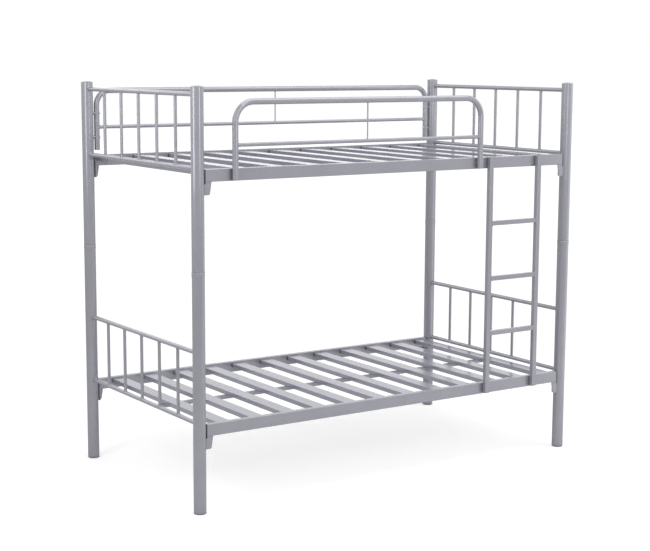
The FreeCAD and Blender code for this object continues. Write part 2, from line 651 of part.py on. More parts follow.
def ladder(parts):
    """Ladder in front of both front rails: two stiles, rungs between them and four bolts."""
    stations = rail_bolt_stations("lower") + [(x, UPPER_DECK_Z - RAIL_MIDDLE) for x in LADDER_STILES.values()]
    bores = bolt_bores(stations, STILE_BACK_Y, STILE_Y, INSERT_D)
    foot_z = LADDER_FOOT_Z + STILE_PLUG_RIM
    run = Z_AXIS * (UPPER_DECK_Z - STILE_PLUG_RIM - foot_z)
    plugs = []
    for side, x in LADDER_STILES.items():
        stile = rounded_tube(V(x, STILE_Y, foot_z), run, X_AXIS, STILE_WIDTH, Y_AXIS, STILE_DEPTH,
                             STILE_WALL, STILE_EDGE_R)
        parts["ladder_%s_stile" % side] = stile.cut(bores)
        plugs += [stile_plug(x, LADDER_FOOT_Z, 1), stile_plug(x, UPPER_DECK_Z, -1)]
    rung_start_x = LADDER_STILES["left"] + STILE_WIDTH / 2
    rung_run = X_AXIS * (LADDER_PITCH - STILE_WIDTH)
    rung_y = STILE_BACK_Y - STILE_DEPTH + RUNG_DEPTH / 2
    for index, name in enumerate(RUNG_NAMES):
        start = V(rung_start_x, rung_y, UPPER_DECK_Z - RUNG_DROP - index * RUNG_PITCH)
        parts["ladder_%s_rung" % name] = rounded_tube(
            start, rung_run, Y_AXIS, RUNG_DEPTH, Z_AXIS, RUNG_HEIGHT, RUNG_WALL, RUNG_EDGE_R)
    tip_y = STILE_BACK_Y - INSERT_LENGTH
    parts["ladder_end_plugs"] = Part.makeCompound(plugs)
    parts["ladder_spacers"] = Part.makeCompound([
        ring(V(x, RAIL_FACE_Y, z), V(x, STILE_BACK_Y, z), SPACER_D, BOLT_HOLE_D) for x, z in stations
    ])
    parts["ladder_inserts"] = Part.makeCompound([front_insert(x, z, STILE_BACK_Y) for x, z in stations])
    parts["ladder_bolts"] = Part.makeCompound([hex_bolt(x, z, tip_y) for x, z in stations])


def posts(parts):
    """Four lower and four upper posts with their spigots, feet and caps."""
    lower = lower_post()
    upper = upper_post()
    insert_bores = [
        rod(V(LEFT_X, BACK_Y, at.z), V(LEFT_X + POST_D, BACK_Y, at.z), INSERT_D)
        for at in back_guard_stations()
    ]
    for corner, (flip_x, flip_y) in CORNERS.items():
        parts[corner + "_lower_post"] = placed(lower, flip_x, flip_y)
        upper_here = placed(upper, flip_x, flip_y)
        if flip_y:
            upper_here = upper_here.cut([placed(bore, flip_x, False) for bore in insert_bores])
        parts[corner + "_upper_post"] = upper_here
    fittings = {
        "post_spigots": spigot(),
        "post_foot_plugs": foot_plug(),
        "post_top_caps": top_cap(),
    }
    for name, piece in fittings.items():
        parts[name] = Part.makeCompound([placed(piece, *flips) for flips in CORNERS.values()])


def end_panels(parts):
    """Two cross tubes and five spindles at each end of each deck."""
    for level, deck_z in DECKS.items():
        bottom_z = deck_z + END_PANEL_LIFT
        top_z = bottom_z + END_PANEL_RISE
        pieces = {
            "top_tube": end_tube(top_z),
            "bottom_tube": end_tube(bottom_z),
            "spindles": end_spindles(bottom_z, top_z),
        }
        for side, flip_x in (("left", False), ("right", True)):
            for name, piece in pieces.items():
                parts["%s_%s_end_%s" % (level, side, name)] = placed(piece, flip_x, False)


def decks(parts):
    """Side rails with their end brackets, slats and slat support of both decks."""
    for level, deck_z in DECKS.items():
        rail = side_rail(deck_z)
        stations = rail_bolt_stations(level)
        bores = bolt_bores(stations, RAIL_FACE_Y, FRONT_Y, BOLT_HOLE_D)
        access = bolt_bores(stations, FRONT_Y, RAIL_INNER_Y, ACCESS_HOLE_D)
        parts[level + "_front_rail"] = rail.cut(bores + access)
        parts[level + "_back_rail"] = placed(rail, False, True)
        brackets = both_ends([rail_bracket(deck_z)])
        parts[level + "_front_rail_brackets"] = brackets
        parts[level + "_back_rail_brackets"] = placed(brackets, False, True)
        parts[level + "_slats"] = slats(level)
        parts[level + "_slat_support"] = slat_support(level)


def main():
    """Build every piece and write one STEP file for each node."""
    parts = {}
    posts(parts)
    end_panels(parts)
    decks(parts)
    front_guard(parts)
    back_guard(parts)
    ladder(parts)
    os.makedirs("parts", exist_ok=True)
    for name, shape in parts.items():
        shape.exportStep("parts/%s.step" % name)
        print(name, len(shape.Solids), shape.isValid(), round(shape.Volume))


if __name__ == "__main__":
    main()
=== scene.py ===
"""Finishes, welds, fasteners and studio of a silver-grey metal bunk bed, laid out as a Blender add-on.

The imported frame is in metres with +Z up, X along the bed and -Y on the ladder side.
"""
import json
import math

import bpy
import numpy as np
from bpy.props import FloatProperty, FloatVectorProperty, PointerProperty, StringProperty
from mathutils import Matrix, Vector


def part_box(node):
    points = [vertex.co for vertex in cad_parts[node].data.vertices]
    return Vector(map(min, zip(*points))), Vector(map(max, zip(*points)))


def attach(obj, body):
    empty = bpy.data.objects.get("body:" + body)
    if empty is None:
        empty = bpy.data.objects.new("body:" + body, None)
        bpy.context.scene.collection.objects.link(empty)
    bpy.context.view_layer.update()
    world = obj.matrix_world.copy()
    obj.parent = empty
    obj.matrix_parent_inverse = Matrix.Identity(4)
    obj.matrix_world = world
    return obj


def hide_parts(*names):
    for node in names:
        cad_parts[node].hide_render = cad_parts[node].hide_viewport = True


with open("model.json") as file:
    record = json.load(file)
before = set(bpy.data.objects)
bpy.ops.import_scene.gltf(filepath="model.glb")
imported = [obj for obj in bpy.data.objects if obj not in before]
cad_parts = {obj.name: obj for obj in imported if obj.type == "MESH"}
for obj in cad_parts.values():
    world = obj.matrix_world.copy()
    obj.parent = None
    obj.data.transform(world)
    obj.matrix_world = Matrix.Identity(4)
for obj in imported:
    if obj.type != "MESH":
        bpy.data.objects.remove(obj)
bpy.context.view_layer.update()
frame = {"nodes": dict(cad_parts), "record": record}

bl_info = {
    "name": "Metal bunk bed",
    "version": (1, 0, 0),
    "blender": (4, 5, 0),
    "location": "View3D > Sidebar > Bunk bed",
    "description": "Finishes, welds, fasteners and studio of a metal bunk bed",
    "category": "Object",
}

NODES = frame["nodes"]
SLOT_OF = {row["node"]: row["material_slot"] for row in frame["record"]["subparts"]}
MM = 0.001
X_AXIS = np.array((1.0, 0.0, 0.0))
Y_AXIS = np.array((0.0, 1.0, 0.0))
Z_AXIS = np.array((0.0, 0.0, 1.0))
LEVELS = ("lower", "upper")
ENDS = ("left", "right")
SIDES = ("front", "back")

# Counts and sizes of the solids
SPINDLES = 5
SLATS = {"lower": 12, "upper": 11}
SLAT_WIDTH = 60 * MM
RUNG_CORNER = 2 * MM
BRACKET_PLATE = 5 * MM

# Dark joint line, painted shade and painted highlight in the coat, with brightness over the coat's own
JOINT_LINE = 2.4 * MM
JOINT_LINE_SHADE = 0.58
JOINT_RIM = 2.4 * MM
JOINT_RIM_HIGHLIGHT = 1.25
CORNER_REACH = 14 * MM
CORNER_SHADE = 0.1
CORNER_SHADE_SHARE = 0.85
TOP_FACING = 0.9

# Weld beads: rows and points of their skins, the lengths left bare at their ends, and their waves
ROWS_PER_RIPPLE = 6
POINTS_AROUND_BEAD = 10
POINTS_PER_CORNER = 8
FEWEST_RING_RIPPLES = 6
FEWEST_RUN_RIPPLES = 3
RIPPLE_HEIGHT = 0.09
SWELL_HEIGHTS = (0.08, 0.05)
EDGE_CLEARANCE = 3 * MM
BAR_CLEARANCE = 8 * MM
BRACKET_CLEARANCE = 2 * MM
WING_REACH = 19 * MM
SEEDS = {"end_panels": 11, "decks": 12, "guards": 13, "ladder": 14}

# Button head bolts
POINTS_AROUND_BOLT = 48
DOME_ROWS = 12
SOCKET_LIP = 0.3 * MM
SOCKET_CHAMFER = 0.2 * MM
TIP_CHAMFER = 1 * MM
BOLT_EDGE = math.radians(32)

# Plastics
CAP_ROUGHNESS = 0.38
FOOT_ROUGHNESS = 0.45

# Studio: the floor's two glows grow with the distance in metres from the middle of the bed
SENSOR_WIDTH = 36.0
FAR_CLIP = 100.0
FLOOR_HALF = 30.0
FLOOR_GREY = (0.68, 0.68, 0.68, 1.0)
SEEN_GLOW = {"From Min": 2.5, "From Max": 7.0, "To Min": 0.43, "To Max": 0.65}
MIRRORED_GLOW = {"From Min": 4.0, "From Max": 12.0, "To Min": 0.1, "To Max": 0.28}


def linear(hex_colour):
    """Linear RGBA of an sRGB hex colour such as 9A9AA2."""
    values = [int(hex_colour[i:i + 2], 16) / 255 for i in (0, 2, 4)]
    return [v / 12.92 if v <= 0.04045 else ((v + 0.055) / 1.055) ** 2.4 for v in values] + [1.0]


def shaded(hex_colour, factor):
    """Linear RGBA of an sRGB hex colour made lighter or darker by a factor."""
    return [min(1.0, c * factor) for c in linear(hex_colour)[:3]] + [1.0]


def add_node(tree, kind, settings=None, inputs=None):
    """Add a node, set its attributes, then set its sockets to values or link them to other sockets."""
    made = tree.nodes.new(kind)
    for name, value in (settings or {}).items():
        setattr(made, name, value)
    for name, value in (inputs or {}).items():
        socket = made.inputs[name]
        if isinstance(value, bpy.types.NodeSocket):
            tree.links.new(value, socket)
        else:
            socket.default_value = value
    return made


def new_material(name):
    """Empty node material and its tree."""
    material = bpy.data.materials.new(name)
    material.use_nodes = True
    material.node_tree.nodes.clear()
    return material, material.node_tree


def span(node):
    """Lowest and highest corner of a node as arrays."""
    low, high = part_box(node)
    return np.array(low), np.array(high)


class BedFinish(bpy.types.PropertyGroup):
    """Colours and gloss of the bed's finishes."""

    coat_hex: StringProperty(
        name="Coat colour", default="9999A1",
        description="sRGB hex of the powder coat on tubes and brackets")
    slat_hex: StringProperty(
        name="Slat colour", default="9A9AA5",
        description="sRGB hex of the powder coat on the slats")
    coat_roughness: FloatProperty(
        name="Coat roughness", default=0.21, min=0, max=1, subtype="FACTOR",
        description="Middle roughness of the powder coat")
    cap_hex: StringProperty(
        name="Cap colour", default="8E8E96",
        description="sRGB hex of the moulded post caps")
    foot_hex: StringProperty(
        name="Foot colour", default="7A7A82",
        description="sRGB hex of the moulded feet and tube plugs")
    zinc_hex: StringProperty(
        name="Zinc colour", default="BFC1C6",
        description="sRGB hex of the zinc plated bolts and inserts")


class BedWelds(bpy.types.PropertyGroup):
    """Sizes of the weld beads."""

    tube_bead: FloatProperty(
        name="Tube bead", default=2.6 * MM, min=0.1 * MM, unit="LENGTH",
        description="Bead radius on the end tubes and guard bars")
    spindle_bead: FloatProperty(
        name="Spindle bead", default=2.0 * MM, min=0.1 * MM, unit="LENGTH",
        description="Bead radius on the spindles")
    wire_bead: FloatProperty(
        name="Wire bead", default=1.5 * MM, min=0.1 * MM, unit="LENGTH",
        description="Bead radius on the guards' upright wires")
    flat_bead: FloatProperty(
        name="Flat bead", default=1.8 * MM, min=0.1 * MM, unit="LENGTH",
        description="Bead radius on slats, rungs and brackets")
    ripple: FloatProperty(
        name="Ripple", default=2.2 * MM, min=0.2 * MM, unit="LENGTH",
        description="Pitch of the ripples along a bead")


class BedBolts(bpy.types.PropertyGroup):
    """Sizes of the button head bolts."""

    head_d: FloatProperty(
        name="Head", default=13 * MM, min=2 * MM, unit="LENGTH",
        description="Diameter of the head")
    head_h: FloatProperty(
        name="Height", default=3.5 * MM, min=1 * MM, unit="LENGTH",
        description="Height of the head over the tube")
    rim: FloatProperty(
        name="Rim", default=0.8 * MM, min=0, unit="LENGTH",
        description="Upright part of the head's height")
    socket: FloatProperty(
        name="Socket", default=4 * MM, min=1 * MM, unit="LENGTH",
        description="Hexagon socket across its flats")
    socket_depth: FloatProperty(
        name="Socket depth", default=2.2 * MM, min=0.5 * MM, unit="LENGTH",
        description="Depth of the hexagon socket")
    shank_d: FloatProperty(
        name="Shank", default=6 * MM, min=1 * MM, unit="LENGTH",
        description="Diameter of the shank")


class BedStudio(bpy.types.PropertyGroup):
    """Camera and lights of the studio."""

    camera_place: FloatVectorProperty(
        name="Camera place", default=(-3.75482, -5.56176, 1.83626), unit="LENGTH",
        description="Where the camera stands")
    camera_turn: FloatVectorProperty(
        name="Camera turn", default=(33.7794, -8.4873, 0.2831),
        description="Heading to the right of +Y, tilt up and roll, in degrees")
    lens: FloatProperty(
        name="Lens", default=81.574, min=1,
        description="Focal length in mm on a 36 mm wide sensor")
    room_light: FloatProperty(
        name="Room light", default=0.62, min=0,
        description="Strength of the white room's light")
    strip_power: FloatProperty(
        name="Strip power", default=12.0, min=0, unit="POWER",
        description="Power of each upright softbox")
    edge_power: FloatProperty(
        name="Edge power", default=7.0, min=0, unit="POWER",
        description="Power of the softbox beside the right end")
    front_fill: FloatProperty(
        name="Front fill", default=42.0, min=0, unit="POWER",
        description="Power of the fill light at the front right")
    end_fill: FloatProperty(
        name="End fill", default=27.0, min=0, unit="POWER",
        description="Power of the fill light at the left end")
    horizon_power: FloatProperty(
        name="Horizon power", default=250.0, min=0, unit="POWER",
        description="Power of the long low light far behind the bed")
    back_power: FloatProperty(
        name="Back power", default=25.0, min=0, unit="POWER",
        description="Power of the softbox high behind the bed")
    top_power: FloatProperty(
        name="Top power", default=68.0, min=0, unit="POWER",
        description="Power of the softbox overhead")


# Each light's name, place, target, size, property that holds its power, and whether metal mirrors it
SOFTBOXES = (
    ("left_strip", (-2.5, -0.46, 2.2), (-0.97, -0.5, 2.2), (0.65, 2.0), "strip_power", True),
    ("right_strip", (-0.23, -3.0, 2.25), (-0.97, -0.5, 2.25), (0.7, 2.2), "strip_power", True),
    ("edge_box", (2.2, -1.0, 1.5), (0.97, -0.5, 1.5), (1.2, 3.0), "edge_power", True),
    ("front_fill", (2.4, -3.2, 1.5), (0.7, -0.5, 1.0), (2.6, 3.0), "front_fill", False),
    ("end_fill", (-3.2, -1.2, 2.9), (-0.6, 0.0, 1.2), (2.0, 1.8), "end_fill", False),
    ("horizon_box", (13.75, 20.75, 2.8), (0.0, 0.0, 1.4), (30.0, 3.0), "horizon_power", True),
    ("back_box", (-1.2, 4.5, 3.1), (-0.97, 0.0, 1.0), (4.5, 1.6), "back_power", True),
    ("top_box", (0.6, -0.8, 4.2), (0.6, -0.3, 0.0), (4.2, 3.0), "top_power", True),
)


def silver_coat(name, hex_colour, roughness, joint_z=None, ends_y=None):
    """Polyester powder coat with aluminium flake, sprayed and baked on steel tube.

    The flake gives it a soft metal sheen under the gloss, the spray leaves slow clouds of lighter and
    darker grey, and the melt leaves a low orange peel.  Real flake is 0.03 mm and is drawn 40 times as
    coarse to show.  Where two posts meet at joint_z, a dark line of joint and painted shade lies over a
    painted highlight on the lower post's rim.  Near a slat's two ends_y its upright sides are painted
    dark, a painted shade of the corner where the slat meets the rail.
    """
    flake, cloud, peel = 1.2 * MM, 90 * MM, 3.5 * MM
    material, tree = new_material(name)
    place = add_node(tree, "ShaderNodeTexCoord").outputs["Object"]
    clouds = add_node(tree, "ShaderNodeTexNoise", {"noise_dimensions": "3D"},
                      {"Vector": place, "Scale": 1 / cloud, "Detail": 3.0, "Roughness": 0.55})
    flakes = add_node(tree, "ShaderNodeTexVoronoi", {"feature": "F1", "voronoi_dimensions": "3D"},
                      {"Vector": place, "Scale": 1 / flake, "Randomness": 1.0})
    glint = add_node(tree, "ShaderNodeSeparateColor", None, {"Color": flakes.outputs["Color"]})
    spray = add_node(tree, "ShaderNodeMix", {"data_type": "FLOAT"},
                     {"Factor": 0.2, "A": clouds.outputs["Fac"], "B": glint.outputs["Red"]})
    tint = add_node(tree, "ShaderNodeValToRGB", None, {"Fac": spray.outputs["Result"]})
    for stop, position, factor in zip(tint.color_ramp.elements, (0.25, 0.75), (0.95, 1.05)):
        stop.position = position
        stop.color = shaded(hex_colour, factor)
    gloss = add_node(tree, "ShaderNodeMapRange", None,
                     {"Value": spray.outputs["Result"], "From Min": 0.25, "From Max": 0.75,
                      "To Min": roughness + 0.03, "To Max": roughness - 0.03})
    skin = add_node(tree, "ShaderNodeTexNoise", {"noise_dimensions": "3D"},
                    {"Vector": place, "Scale": 1 / peel, "Detail": 1.5})
    bump = add_node(tree, "ShaderNodeBump", None,
                    {"Height": skin.outputs["Fac"], "Strength": 0.05, "Distance": 0.2 * MM})
    spot = add_node(tree, "ShaderNodeSeparateXYZ", None, {"Vector": place})
    painted_light = []
    # Dark joint line with painted shade above joint_z, and a painted highlight on the lower post's rim
    # below it
    if joint_z is not None:
        bands = ((joint_z + JOINT_LINE / 2, JOINT_LINE, JOINT_LINE_SHADE),
                 (joint_z - JOINT_RIM / 2, JOINT_RIM, JOINT_RIM_HIGHLIGHT))
        for middle, width, factor in bands:
            inside = add_node(tree, "ShaderNodeMath", {"operation": "COMPARE"},
                              {0: spot.outputs["Z"], 1: middle, 2: width / 2})
            painted_light.append((inside.outputs["Value"], factor))
    # Painted shade on the slats' upright sides near both ends, in the corners against the rails
    if ends_y is not None:
        normal = add_node(tree, "ShaderNodeNewGeometry").outputs["Normal"]
        facing = add_node(tree, "ShaderNodeSeparateXYZ", None, {"Vector": normal})
        upright = add_node(tree, "ShaderNodeMath", {"operation": "LESS_THAN"},
                           {0: facing.outputs["Z"], 1: TOP_FACING})
        for end_y, inward in zip(ends_y, (1, -1)):
            near = add_node(tree, "ShaderNodeMapRange", {"interpolation_type": "SMOOTHSTEP"},
                            {"Value": spot.outputs["Y"], "From Min": end_y + inward * CORNER_REACH,
                             "From Max": end_y, "To Max": CORNER_SHADE_SHARE})
            shade_share = add_node(tree, "ShaderNodeMath", {"operation": "MULTIPLY"},
                             {0: near.outputs["Result"], 1: upright.outputs["Value"]})
            painted_light.append((shade_share.outputs["Value"], CORNER_SHADE))
    colour = tint.outputs["Color"]
    # Mix the painted shade and painted highlight into the coat's colour
    for share, factor in painted_light:
        painted_colour = add_node(tree, "ShaderNodeMix", {"data_type": "RGBA"},
                          {"Factor": share, "A": colour, "B": shaded(hex_colour, factor)})
        colour = painted_colour.outputs["Result"]
    shader = add_node(tree, "ShaderNodeBsdfPrincipled", None,
                      {"Base Color": colour, "Roughness": gloss.outputs["Result"],
                       "Metallic": 0.4, "IOR": 1.5, "Normal": bump.outputs["Normal"]})
    add_node(tree, "ShaderNodeOutputMaterial", None, {"Surface": shader.outputs["BSDF"]})
    return material


def moulded_plastic(name, hex_colour, roughness):
    """Injection moulded polypropylene with a fine spark-eroded grain.

    The grain breaks up the highlight and the pigment has faint flow clouds.  The real grain is about
    0.3 mm and is drawn at 1.5 mm to show.
    """
    grain, flow = 1.5 * MM, 14 * MM
    material, tree = new_material(name)
    place = add_node(tree, "ShaderNodeTexCoord").outputs["Object"]
    clouds = add_node(tree, "ShaderNodeTexNoise", {"noise_dimensions": "3D"},
                      {"Vector": place, "Scale": 1 / flow, "Detail": 2.0, "Distortion": 0.6})
    tint = add_node(tree, "ShaderNodeValToRGB", None, {"Fac": clouds.outputs["Fac"]})
    for stop, position, factor in zip(tint.color_ramp.elements, (0.3, 0.7), (0.93, 1.07)):
        stop.position = position
        stop.color = shaded(hex_colour, factor)
    skin = add_node(tree, "ShaderNodeTexNoise", {"noise_dimensions": "3D"},
                    {"Vector": place, "Scale": 1 / grain, "Detail": 2.0})
    gloss = add_node(tree, "ShaderNodeMapRange", None,
                     {"Value": skin.outputs["Fac"], "From Min": 0.3, "From Max": 0.7,
                      "To Min": roughness - 0.06, "To Max": roughness + 0.08})
    bump = add_node(tree, "ShaderNodeBump", None,
                    {"Height": skin.outputs["Fac"], "Strength": 0.25, "Distance": 0.15 * MM})
    shader = add_node(tree, "ShaderNodeBsdfPrincipled", None,
                      {"Base Color": tint.outputs["Color"], "Roughness": gloss.outputs["Result"],
                       "IOR": 1.49, "Normal": bump.outputs["Normal"]})
    add_node(tree, "ShaderNodeOutputMaterial", None, {"Surface": shader.outputs["BSDF"]})
    return material


def zinc_steel(hex_colour):
    """Bright zinc plate on rolled steel: a cool mirror broken by small patches of duller crystal."""
    patch = 2.5 * MM
    material, tree = new_material("zinc_plated_steel")
    place = add_node(tree, "ShaderNodeTexCoord").outputs["Object"]
    crystals = add_node(tree, "ShaderNodeTexVoronoi", {"feature": "F1", "voronoi_dimensions": "3D"},
                        {"Vector": place, "Scale": 1 / patch, "Randomness": 1.0})
    shade = add_node(tree, "ShaderNodeSeparateColor", None, {"Color": crystals.outputs["Color"]})
    tint = add_node(tree, "ShaderNodeValToRGB", None, {"Fac": shade.outputs["Green"]})
    for stop, factor in zip(tint.color_ramp.elements, (0.85, 1.05)):
        stop.color = shaded(hex_colour, factor)
    gloss = add_node(tree, "ShaderNodeMapRange", None,
                     {"Value": shade.outputs["Red"], "To Min": 0.24, "To Max": 0.42})
    shader = add_node(tree, "ShaderNodeBsdfPrincipled", None,
                      {"Base Color": tint.outputs["Color"], "Roughness": gloss.outputs["Result"],
                       "Metallic": 1.0})
    add_node(tree, "ShaderNodeOutputMaterial", None, {"Surface": shader.outputs["BSDF"]})
    return material


def dress(material, slot):
    """Give a material to every node of a slot."""
    for name, node in NODES.items():
        if SLOT_OF[name] == slot:
            node.data.materials.clear()
            node.data.materials.append(material)


def shell(rings, looped):
    """Closed skin over a stack of rings, as points and faces that look outwards.

    Neighbouring rings are joined by quads.  A looped stack joins its last ring to its first, and any
    other is closed at both ends by a fan about the ring's middle.
    """
    count, around = rings.shape[:2]
    ids = np.arange(count * around).reshape(count, around)
    low, high = (ids, np.roll(ids, -1, 0)) if looped else (ids[:-1], ids[1:])
    quads = np.stack([low, np.roll(low, -1, 1), np.roll(high, -1, 1), high], -1).reshape(-1, 4)
    points = rings.reshape(-1, 3)
    halves = [quads[:, [0, 1, 2]], quads[:, [0, 2, 3]]]
    fans = np.empty((0, 3), int)
    if not looped:
        first, last = len(points), len(points) + 1
        points = np.concatenate([points, rings[[0, -1]].mean(axis=1)])
        fans = np.concatenate([
            np.stack([np.full(around, first), np.roll(ids[0], -1), ids[0]], -1),
            np.stack([np.full(around, last), ids[-1], np.roll(ids[-1], -1)], -1)])
    corners = points[np.concatenate(halves + [fans])]
    volume = np.einsum("ij,ij->i", corners[:, 0], np.cross(corners[:, 1], corners[:, 2])).sum()
    faces = quads.tolist() + fans.tolist()
    if volume < 0:
        faces = [face[::-1] for face in faces]
    return points, faces


def add_piece(name, shells, material, sharp_angle=None):
    """One object from several closed skins; it rides on the bed and takes the given material."""
    points = np.concatenate([part[0] for part in shells])
    faces = []
    start = 0
    for part_points, part_faces in shells:
        faces += [[index + start for index in face] for face in part_faces]
        start += len(part_points)
    mesh = bpy.data.meshes.new(name)
    mesh.from_pydata(points.tolist(), [], faces)
    mesh.shade_smooth()
    if sharp_angle is not None:
        mesh.set_sharp_from_angle(angle=sharp_angle)
    mesh.materials.append(material)
    piece = bpy.data.objects.new(name, mesh)
    bpy.context.scene.collection.objects.link(piece)
    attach(piece, "root")
    return piece


def bead_rings(seam, out, along, radius):
    """Rings of a bead: seam(u) + a(u) (cos v out(u) + sin v along(u))."""
    v = np.linspace(0, 2 * np.pi, POINTS_AROUND_BEAD, endpoint=False)
    circle = np.cos(v)[None, :, None] * out[:, None, :] + np.sin(v)[None, :, None] * along[:, None, :]
    return seam[:, None, :] + radius[:, None, None] * circle


def rippled(share, ripples, draw):
    """Bead radius over its middle value along a bead.

    It is 1 plus the torch's ripples, a cosine, and two slow swells of the hand, sines of 2 and 5 waves.
    """
    phase = draw.uniform(0, 2 * np.pi, 3)
    ripple = RIPPLE_HEIGHT * np.cos(2 * np.pi * ripples * share + phase[0])
    slow = SWELL_HEIGHTS[0] * np.sin(4 * np.pi * share + phase[1])
    quick = SWELL_HEIGHTS[1] * np.sin(10 * np.pi * share + phase[2])
    return 1 + ripple + (slow + quick)


def saddle_bead(centre, axis, branch, tube_r, branch_r, bead_r, ripple, draw):
    """Ring of weld where a round branch meets a round tube.

    The seam is centre + branch sqrt(R^2 - (r cos u)^2) + r (cos u side + sin u axis).
    """
    ripples = max(FEWEST_RING_RIPPLES, round(2 * np.pi * branch_r / ripple))
    share = np.arange(ripples * ROWS_PER_RIPPLE) / (ripples * ROWS_PER_RIPPLE)
    u = 2 * np.pi * share
    side = np.cross(branch, axis)
    out = np.outer(np.cos(u), side) + np.outer(np.sin(u), axis)
    depth = np.sqrt(tube_r ** 2 - (branch_r * np.cos(u)) ** 2)
    seam = centre + np.outer(depth, branch) + branch_r * out
    along = np.broadcast_to(branch, seam.shape)
    return shell(bead_rings(seam, out, along, bead_r * rippled(share, ripples, draw)), True)


def frame_bead(centre, across, width, up, height, corner_r, bead_r, ripple, draw):
    """Ring of weld round a rectangular tube with rounded corners, on the face that the tube stands on.

    The seam runs at even steps of length round four quarter circles and the straights between them.
    """
    turn = np.linspace(0, np.pi / 2, POINTS_PER_CORNER)
    quarters = [(1, 1, 0), (-1, 1, 1), (-1, -1, 2), (1, -1, 3)]
    flat = np.concatenate([
        np.stack([sx * (width / 2 - corner_r) + corner_r * np.cos(turn + q * np.pi / 2),
                  sy * (height / 2 - corner_r) + corner_r * np.sin(turn + q * np.pi / 2)], -1)
        for sx, sy, q in quarters])
    flat = np.concatenate([flat, flat[:1]])
    run = np.concatenate([[0], np.cumsum(np.linalg.norm(np.diff(flat, axis=0), axis=1))])
    ripples = round(run[-1] / ripple)
    share = np.arange(ripples * ROWS_PER_RIPPLE) / (ripples * ROWS_PER_RIPPLE)
    a = np.interp(share * run[-1], run, flat[:, 0])
    b = np.interp(share * run[-1], run, flat[:, 1])
    slope = np.stack([np.roll(b, -1) - np.roll(b, 1), np.roll(a, 1) - np.roll(a, -1)], -1)
    slope /= np.linalg.norm(slope, axis=1)[:, None]
    seam = centre + np.outer(a, across) + np.outer(b, up)
    out = np.outer(slope[:, 0], across) + np.outer(slope[:, 1], up)
    along = np.broadcast_to(np.cross(across, up), seam.shape)
    return shell(bead_rings(seam, out, along, bead_r * rippled(share, ripples, draw)), True)


def straight_bead(start, end, out, bead_r, ripple, draw):
    """Short run of weld in a corner; its radius dies away at both ends as (1 - (2u - 1)^4)^0.5."""
    length = np.linalg.norm(end - start)
    ripples = max(FEWEST_RUN_RIPPLES, round(length / ripple))
    share = np.linspace(0, 1, ripples * ROWS_PER_RIPPLE + 1)[1:-1]
    ahead = (end - start) / length
    out = out / np.linalg.norm(out)
    seam = start + np.outer(share, end - start)
    taper = np.sqrt(1 - (2 * share - 1) ** 4)
    radius = bead_r * taper * rippled(share, ripples, draw)
    out_rows = np.broadcast_to(out, seam.shape)
    along = np.broadcast_to(np.cross(ahead, out), seam.shape)
    return shell(bead_rings(seam, out_rows, along, radius), False)


def button_bolt(centre, inward, tube_r, tip, bolt):
    """Button head bolt on a round upright tube, from its hexagon socket to the shank's tip.

    The hexagon is r = s/2 / cos(u mod 60 - 30 degrees), the dome h = R + e + (H - e) (1 - (r/r0)^2)^0.5,
    and the head's foot lies on the tube at h = (R^2 - (r cos u)^2)^0.5.
    """
    u = np.arange(POINTS_AROUND_BOLT) * 2 * np.pi / POINTS_AROUND_BOLT
    even = np.ones_like(u)
    head_r, shank_r = bolt.head_d / 2, bolt.shank_d / 2
    hexagon = bolt.socket / 2 / np.cos(u % (np.pi / 3) - np.pi / 6)

    def dome(r):
        round_part = np.sqrt(np.maximum(0, 1 - (r / head_r) ** 2))
        return tube_r + bolt.rim + (bolt.head_h - bolt.rim) * round_part

    def saddle(r):
        return np.sqrt(tube_r ** 2 - (r * np.cos(u)) ** 2)

    dome_radii = np.linspace(hexagon.max() + SOCKET_LIP, head_r, DOME_ROWS)
    rows = [(hexagon, (tube_r + bolt.head_h - bolt.socket_depth) * even)]
    rows += [(hexagon, dome(hexagon) - SOCKET_CHAMFER)]
    rows += [(r * even, dome(r * even)) for r in dome_radii]
    rows += [(r * even, saddle(r)) for r in (head_r, shank_r)]
    rows += [(shank_r * even, (tip + TIP_CHAMFER) * even), ((shank_r - TIP_CHAMFER) * even, tip * even)]
    ring = np.outer(np.cos(u), Y_AXIS) + np.outer(np.sin(u), Z_AXIS)
    return shell(np.stack([centre + r[:, None] * ring + np.outer(h, inward) for r, h in rows]), False)


class BED_OT_coat_frame(bpy.types.Operator):
    """Powder coat on the posts, tubes, rails, brackets, ladder and slats."""

    bl_idname = "bed.coat_frame"
    bl_label = "Coat the frame"

    def execute(self, context):
        finish = context.scene.bed_finish
        gloss = finish.coat_roughness
        dress(silver_coat("silver_powder_coat", finish.coat_hex, gloss), "frame_coat")
        # Posts: dark joint line with painted shade, over a painted highlight on the lower post's rim
        joint_z = span("front_left_lower_post")[1][2]
        post_coat = silver_coat("silver_powder_coat_posts", finish.coat_hex, gloss, joint_z)
        for name, node in NODES.items():
            if name.endswith("_post"):
                node.data.materials[0] = post_coat
        # Slats: painted shade on their upright sides near both ends
        ends_y = [corner[1] for corner in span("lower_slats")]
        slat_coat = silver_coat("silver_powder_coat_slats", finish.slat_hex, gloss, ends_y=ends_y)
        dress(slat_coat, "slat_coat")
        return {"FINISHED"}


class BED_OT_finish_plastics(bpy.types.Operator):
    """Moulded plastic on the post caps, feet and tube plugs."""

    bl_idname = "bed.finish_plastics"
    bl_label = "Finish the plastics"

    def execute(self, context):
        finish = context.scene.bed_finish
        dress(moulded_plastic("moulded_cap_plastic", finish.cap_hex, CAP_ROUGHNESS), "cap_plastic")
        dress(moulded_plastic("moulded_foot_plastic", finish.foot_hex, FOOT_ROUGHNESS), "foot_plastic")
        return {"FINISHED"}


